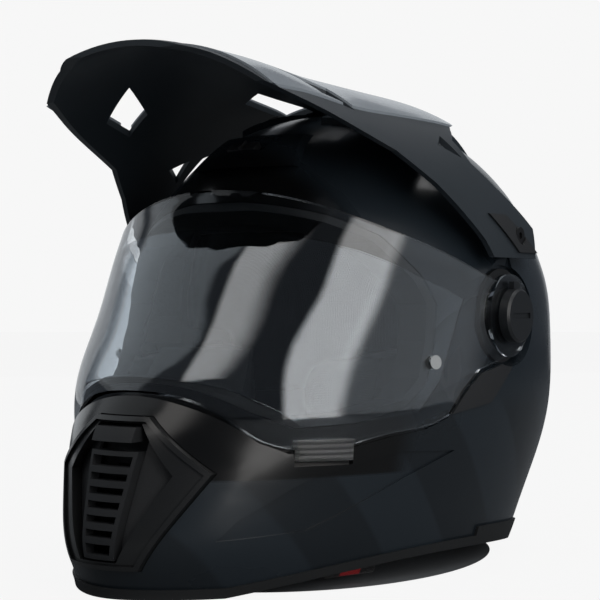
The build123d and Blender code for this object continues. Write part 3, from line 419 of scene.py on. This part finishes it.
tree_of = shell_paint.node_tree
shader = tree_of.nodes["Principled BSDF"]
painted_spot = place_of(tree_of)
y, z = painted_spot["Y"], painted_spot["Z"]
band_slant = 0.8
band_waves = 74.0
band_depth = 0.45
band_dark = (0.004, 0.005, 0.006)
band_foot, band_top = 0.080, 0.100
gloss_dark = (0.0035, 0.0036, 0.0038)
gloss_rough = 0.20
gloss_low, gloss_high = 0.0555, 0.0575
gloss_rear, gloss_front = -0.045, -0.060
slant = math_node(tree_of, "ADD", y, math_node(tree_of, "MULTIPLY", z, band_slant))
wave = math_node(tree_of, "SINE", math_node(tree_of, "MULTIPLY", slant, band_waves), 0)
below_top = ramp(tree_of, z, band_top, band_foot)
low_side = math_node(tree_of, "MULTIPLY", ramp(tree_of, wave, -0.15, 0.15), below_top)
bands = math_node(tree_of, "MULTIPLY", low_side, band_depth)
colour_socket = shader.inputs["Base Color"]
rough_socket = shader.inputs["Roughness"]
toned(tree_of, bands, linked_to(colour_socket), band_dark, colour_socket)
above_line = ramp(tree_of, z, gloss_low, gloss_high)
gloss_zone = math_node(tree_of, "MULTIPLY", above_line, ramp(tree_of, y, gloss_rear, gloss_front))
toned(tree_of, gloss_zone, linked_to(colour_socket), gloss_dark, colour_socket)
toned(tree_of, gloss_zone, linked_to(rough_socket), (gloss_rough,), rough_socket)
print("two-tone paint", len(tree_of.nodes), "nodes")

# %% [markdown]
# The shield is clear plastic with a faint blue tint. Its real wall is in the frame, so light passes
# both faces and bends as it should. Its lifting tab is untinted, frosted and ridged for the thumb.
# The anti-fog insert inside is thinner and nearly colourless.

# %% Clear shield and insert


def clear_plastic(name, tint, rough, ior):
    """Transparent moulding with faint smears that only the gloss shows."""
    material = bpy.data.materials.new(name)
    material.use_nodes = True
    tree_of = material.node_tree
    shader = tree_of.nodes["Principled BSDF"]
    shader.inputs["Base Color"].default_value = (*tint, 1)
    shader.inputs["Transmission Weight"].default_value = 1.0
    shader.inputs["IOR"].default_value = ior
    wear = tree_of.nodes.new("ShaderNodeGroup")
    wear.node_tree = marks
    wear.inputs["Scale"].default_value = 9
    wear.inputs["Low"].default_value = rough[0]
    wear.inputs["High"].default_value = rough[1]
    tree_of.links.new(wear.outputs["Value"], shader.inputs["Roughness"])
    return material


shield_tint = (0.86, 0.91, 0.955)
tab_rough = 0.42
tab_top, tab_foot = 0.0760, 0.0740
ridge_waves = 2400.0
ridge_height = 0.0003
shield_clear = clear_plastic("shield_clear", shield_tint, (0.0, 0.02), 1.5)
tree_of = shield_clear.node_tree
shader = tree_of.nodes["Principled BSDF"]
colour_socket = shader.inputs["Base Color"]
rough_socket = shader.inputs["Roughness"]
moulded_spot = place_of(tree_of)
x, y, z = (moulded_spot[axis] for axis in "XYZ")
tab_mask = ramp(tree_of, z, tab_top, tab_foot)
for value, low, high in ((x, 0.0, 0.01), (y, -0.107, -0.106), (y, -0.0825, -0.0835)):
    tab_mask = math_node(tree_of, "MULTIPLY", tab_mask, ramp(tree_of, value, low, high))
tint = tree_of.nodes.new("ShaderNodeRGB")
tint.outputs[0].default_value = (*shield_tint, 1)
toned(tree_of, tab_mask, tint.outputs[0], (1.0, 1.0, 1.0), colour_socket)
toned(tree_of, tab_mask, linked_to(rough_socket), (tab_rough,), rough_socket)
ridges = math_node(tree_of, "SINE", math_node(tree_of, "MULTIPLY", z, ridge_waves), 0)
grip = tree_of.nodes.new("ShaderNodeBump")
grip.inputs["Strength"].default_value = 1.0
grip.inputs["Distance"].default_value = ridge_height
tree_of.links.new(math_node(tree_of, "MULTIPLY", ridges, tab_mask), grip.inputs["Height"])
tree_of.links.new(grip.outputs["Normal"], shader.inputs["Normal"])
insert_clear = clear_plastic("insert_clear", (0.95, 0.96, 0.965), (0.0, 0.03), 1.45)
print("clear finishes ready")

# %% [markdown]
# The hard pieces of the frame keep their meshes and only take their finishes.

# %% Finishes on the frame's pieces
finishes = {
    shell_paint: ("outer_shell", "forehead_vent", "crown_vents", "rear_spoiler"),
    peak_satin: ("peak",),
    panel_gloss: ("peak_top_panel",),
    vent_gloss: ("chin_vent_frame",),
    vent_matte: (
        "chin_vent_backing", "chin_vent_grille", "chin_vent_shutter", "side_covers", "pivot_plates",
        "peak_screw_covers", "peak_bushes", "crown_boss", "forehead_vent_slider",
        "crown_vent_slider_left", "crown_vent_slider_right",
    ),
    trim_rubber: ("base_trim", "eyeport_gasket", "breath_deflector", "brow_trim"),
    cap_plastic: ("pivot_cap_left", "pivot_cap_right"),
    bead_foam: ("foam_liner", "chin_foam", "cheek_foam_left", "cheek_foam_right"),
    pin_steel: ("insert_pins", "d_ring_lower", "d_ring_upper"),
    screw_black: ("peak_side_screws", "crown_screw", "strap_anchors"),
    shield_clear: ("face_shield",),
    insert_clear: ("antifog_insert",),
}
for material, names in finishes.items():
    for name in names:
        piece = nodes[name]
        piece.data.materials.clear()
        piece.data.materials.append(material)
print("finished", sum(len(names) for names in finishes.values()), "frame pieces")

# %% [markdown]
# Cloth and webbing: a knit has a fine regular ribbing with a soft, even fall-off of light.
# It is made from three crossed wave textures, and the shader's sheen stands in for its fibres.

# %% Cloth finishes


def cloth(name, dark, light, thread, depth, sheen, rough=0.9):
    """A woven or knitted surface with threads of the given frequency."""
    material = bpy.data.materials.new(name)
    material.use_nodes = True
    tree_of = material.node_tree
    shader = tree_of.nodes["Principled BSDF"]
    shader.inputs["Roughness"].default_value = rough
    shader.inputs["Sheen Weight"].default_value = sheen
    shader.inputs["Sheen Roughness"].default_value = 0.5
    shader.inputs["Specular IOR Level"].default_value = 0.25
    where = tree_of.nodes.new("ShaderNodeTexCoord")
    threads = []
    for direction in ("X", "Y", "Z"):
        wave = tree_of.nodes.new("ShaderNodeTexWave")
        wave.bands_direction = direction
        wave.inputs["Scale"].default_value = thread
        wave.inputs["Distortion"].default_value = 0.6
        wave.inputs["Detail"].default_value = 1
        tree_of.links.new(where.outputs["Object"], wave.inputs["Vector"])
        threads.append(wave.outputs["Fac"])
    crossed = math_node(tree_of, "MAXIMUM", threads[0], threads[1])
    crossed = math_node(tree_of, "MAXIMUM", crossed, threads[2])
    wear = tree_of.nodes.new("ShaderNodeGroup")
    wear.node_tree = marks
    wear.inputs["Scale"].default_value = 40
    wear.inputs["Low"].default_value = 0.0
    wear.inputs["High"].default_value = 1.0
    tone = tree_of.nodes.new("ShaderNodeMix")
    tone.data_type = "RGBA"
    tone.inputs["A"].default_value = (*dark, 1)
    tone.inputs["B"].default_value = (*light, 1)
    worn_threads = math_node(tree_of, "MULTIPLY", crossed, wear.outputs["Value"])
    tree_of.links.new(worn_threads, tone.inputs["Factor"])
    tree_of.links.new(tone.outputs["Result"], shader.inputs["Base Color"])
    bump = tree_of.nodes.new("ShaderNodeBump")
    bump.inputs["Strength"].default_value = depth
    bump.inputs["Distance"].default_value = 0.0003
    tree_of.links.new(crossed, bump.inputs["Height"])
    tree_of.links.new(bump.outputs["Normal"], shader.inputs["Normal"])
    return material


# Each cloth: its darker and lighter colour, its thread count, its relief and its sheen.
lining_cloth = cloth("lining_cloth", (0.008, 0.009, 0.010), (0.022, 0.024, 0.026), 420, 0.5, 0.12)
cheek_cloth = cloth("cheek_cloth", (0.020, 0.021, 0.023), (0.060, 0.063, 0.067), 380, 0.6, 0.15)
strap_cloth = cloth("strap_cloth", (0.008, 0.008, 0.009), (0.022, 0.022, 0.024), 300, 0.7, 0.2)
tab_cloth = cloth("tab_cloth", (0.36, 0.008, 0.012), (0.55, 0.02, 0.025), 300, 0.6, 0.3)
curtain_cloth = cloth("curtain_cloth", (0.010, 0.010, 0.011), (0.024, 0.024, 0.026), 360, 0.5, 0.3)
filter_open = finish(
    "filter_open", (0.006, 0.006, 0.006), (0.02, 0.02, 0.021), (0.9, 1.0),
    grain_size=520, grain_depth=1.0,
)
# The pull tabs are red only across their middle, and black webbing on either side of it.
tab_black = (0.010, 0.010, 0.011)
tree_of = tab_cloth.node_tree
colour_socket = tree_of.nodes["Principled BSDF"].inputs["Base Color"]
y = place_of(tree_of)["Y"]
behind_red = ramp(tree_of, y, -0.0560, -0.0550)
before_red = ramp(tree_of, y, -0.0670, -0.0680)
not_red = math_node(tree_of, "MAXIMUM", behind_red, before_red)
toned(tree_of, not_red, linked_to(colour_socket), tab_black, colour_socket)
print("cloths ready")

# %% [markdown]
# The lining, cheek pads and neck roll are foam in cloth. Each one starts as the frame's own
# outline, is rebuilt as an even skin of small faces and is blown up a little by a cloth
# simulation, so that its faces swell between its edges the way a stuffed pad does.

# %% Helpers for padded pieces
swell_frames = 20


def alone(obj):
    """Make this the one selected object."""
    bpy.ops.object.select_all(action="DESELECT")
    obj.select_set(True)
    bpy.context.view_layer.objects.active = obj


def copied(name, source):
    """A new object with a clean copy of a frame piece's mesh."""
    mesh = source.data.copy()
    mesh.materials.clear()
    obj = bpy.data.objects.new(name, mesh)
    scene.collection.objects.link(obj)
    obj.matrix_world = source.matrix_world
    alone(obj)
    bpy.ops.object.transform_apply(location=True, rotation=True, scale=True)
    bpy.ops.object.mode_set(mode="EDIT")
    bpy.ops.mesh.select_all(action="SELECT")
    bpy.ops.mesh.remove_doubles(threshold=0.00001)
    bpy.ops.object.mode_set(mode="OBJECT")
    return obj


def even_skin(name, source, voxel):
    """A copy of a frame piece rebuilt as an even skin of small faces."""
    obj = copied(name, source)
    remesh = obj.modifiers.new("skin", "REMESH")
    remesh.mode = "VOXEL"
    remesh.voxel_size = voxel
    bpy.ops.object.modifier_apply(modifier=remesh.name)
    return obj


def softened(obj, rounds):
    """Round off the corners between faces."""
    smooth = obj.modifiers.new("smooth", "SMOOTH")
    smooth.factor = 0.5
    smooth.iterations = rounds
    bpy.ops.object.modifier_apply(modifier=smooth.name)


def stuffed(name, source, material, voxel, pressure, limit):
    """A padded piece: an even skin over the frame piece, swelled by pressure and smoothed."""
    obj = even_skin(name, source, voxel)
    rest = [vertex.co.copy() for vertex in obj.data.vertices]
    swell = obj.modifiers.new("swell", "CLOTH")
    swell.settings.use_pressure = True
    swell.settings.uniform_pressure_force = pressure
    swell.settings.effector_weights.gravity = 0
    swell.settings.tension_stiffness = 40
    swell.settings.compression_stiffness = 40
    swell.settings.bending_stiffness = 8
    swell.settings.quality = 5
    swell.point_cache.frame_start = 1
    swell.point_cache.frame_end = swell_frames
    for frame_number in range(1, swell_frames + 1):
        scene.frame_set(frame_number)
    alone(obj)
    bpy.ops.object.modifier_apply(modifier=swell.name)
    scene.frame_set(1)
    for vertex, start in zip(obj.data.vertices, rest):
        move = vertex.co - start
        if move.length > limit:
            vertex.co = start + move.normalized() * limit
    softened(obj, 3)
    finer = obj.modifiers.new("finer", "SUBSURF")
    finer.levels = 1
    bpy.ops.object.modifier_apply(modifier=finer.name)
    bpy.ops.object.shade_smooth()
    obj.data.materials.append(material)
    return obj

# %% [markdown]
# The linings are swelled one after another. A thin piece, such as the chin curtain or a pull tab,
# keeps its thickness: it takes a finer skin and no pressure, only softened edges.

# %% Linings, pads and small cloth pieces
# Each padded piece: its name and node, its cloth and slot, the size of its faces, the pressure,
# how far the pressure may move a face, and how full it is.
stuffing = (
    ("cheek_pad_skin_left", "cheek_pad_left", cheek_cloth, "lining_cloth", 0.0045, 4.0, 0.004, 0.8),
    ("cheek_pad_skin_right", "cheek_pad_right", cheek_cloth, "lining_cloth", 0.0045, 4.0, 0.004, 0.8),
    ("crown_lining", "comfort_liner", lining_cloth, "lining_cloth", 0.005, 3.0, 0.0015, 0.6),
    ("neck_roll_skin", "neck_roll", lining_cloth, "lining_cloth", 0.005, 4.0, 0.0025, 0.7),
)
for name, node, material, slot_name, voxel, pressure, limit, fill in stuffing:
    pad = stuffed(name, nodes[node], material, voxel, pressure, limit)
    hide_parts(node)
    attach(pad, "helmet")
    print(name, len(pad.data.polygons), "faces")


def skinned(name, source, material, voxel, rounds):
    """A thin cloth piece: an even fine skin over the frame piece with its edges softened."""
    obj = even_skin(name, source, voxel)
    softened(obj, rounds)
    bpy.ops.object.shade_smooth()
    obj.data.materials.append(material)
    return obj


# Each thin piece: its name and node, its cloth, the size of its faces, how many times its edges
# are softened, how full it is, and its slot.
thin_pieces = (
    ("chin_curtain_cloth","chin_curtain", curtain_cloth, 0.0010, 2, 0.2, "lining_cloth"),
    ("filter_pad", "chin_vent_filter", filter_open, 0.0012, 2, 0.3, "filter_foam"),
    ("pull_tab_cloth_left", "pull_tab_left", tab_cloth, 0.0006, 3, 0.2, "tab_red"),
    ("pull_tab_cloth_right", "pull_tab_right", tab_cloth, 0.0006, 3, 0.2, "tab_red"),
)
for name, node, material, voxel, rounds, fill, slot_name in thin_pieces:
    piece = skinned(name, nodes[node], material, voxel, rounds)
    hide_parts(node)
    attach(piece, "helmet")
    print(name, len(piece.data.polygons), "faces")

# %% [markdown]
# Webbing is woven flat with a thicker selvedge at each side. Each strap is laid along its route as
# a strip whose section is a flat band with rounded edges. The short strap ends at the rings.

# %% Straps of flat webbing


def webbing(name, route, middle, width, thick, material):
    """A strip of webbing along a route of (x, z) points, its width running front to back."""
    spline_curve = bpy.data.curves.new(name + "_route", "CURVE")
    spline_curve.dimensions = "3D"
    spline_curve.resolution_u = 10
    line = spline_curve.splines.new("NURBS")
    line.points.add(len(route) - 1)
    for point, (x, z) in zip(line.points, route):
        point.co = (x, middle, z, 1)
    line.order_u = 3
    line.use_endpoint_u = True
    holder = bpy.data.objects.new(name + "_route", spline_curve)
    scene.collection.objects.link(holder)
    bpy.context.view_layer.update()
    path = [vertex.co.copy() for vertex in bpy.data.meshes.new_from_object(holder).vertices]
    bpy.data.objects.remove(holder)
    band = bmesh.new()
    # The section: how far across the width each point lies, and its share of half the thickness.
    edge_share = (0.0, 0.02, 0.05, 0.10, 0.13, 0.5, 0.87, 0.90, 0.95, 0.98, 1.0)
    swell_share = (0.0, 0.75, 1.0, 1.0, 0.8, 0.8, 0.8, 1.0, 1.0, 0.75, 0.0)
    upper = list(zip(edge_share, swell_share))
    lower = [(share, -swell) for share, swell in upper[-2:0:-1]]
    rings = []
    for index, spot in enumerate(path):
        ahead = path[min(index + 1, len(path) - 1)] - path[max(index - 1, 0)]
        ahead.normalize()
        out = Vector((ahead.z, 0, -ahead.x))
        ring = []
        for share, swell in upper + lower:
            across = Vector((0, (share - 0.5) * width, 0))
            ring.append(band.verts.new(spot + across + out * thick / 2 * swell))
        rings.append(ring)
    for first, second in zip(rings[:-1], rings[1:]):
        for corner in range(len(first)):
            following = (corner + 1) % len(first)
            band.faces.new((first[corner], first[following], second[following], second[corner]))
    band.faces.new(rings[0])
    band.faces.new(list(reversed(rings[-1])))
    bmesh.ops.recalc_face_normals(band, faces=band.faces)
    mesh = bpy.data.meshes.new(name)
    band.to_mesh(mesh)
    band.free()
    obj = bpy.data.objects.new(name, mesh)
    scene.collection.objects.link(obj)
    alone(obj)
    bpy.ops.object.shade_smooth()
    mesh.materials.append(material)
    return obj


strap_width = 0.022
strap_thickness = 0.0022
strap_route = [
    (0.1039, 0.0570), (0.1002, 0.0440), (0.0949, 0.0338),
    (0.0868, 0.0220), (0.0645, 0.0155), (0.0285, 0.0130),
]
mirrored_route = [(-x, z) for x, z in strap_route]
strap_middle = middle_of("strap_anchors")
strap_band = (strap_middle, strap_width, strap_thickness, strap_cloth)
right_strap = webbing("long_strap", mirrored_route, *strap_band)
left_strap = webbing("short_strap", strap_route, *strap_band)
for strap, node in ((left_strap, "chin_strap_left"), (right_strap, "chin_strap_right")):
    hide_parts(node)
    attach(strap, "helmet")
print("straps at", round(strap_middle, 4))
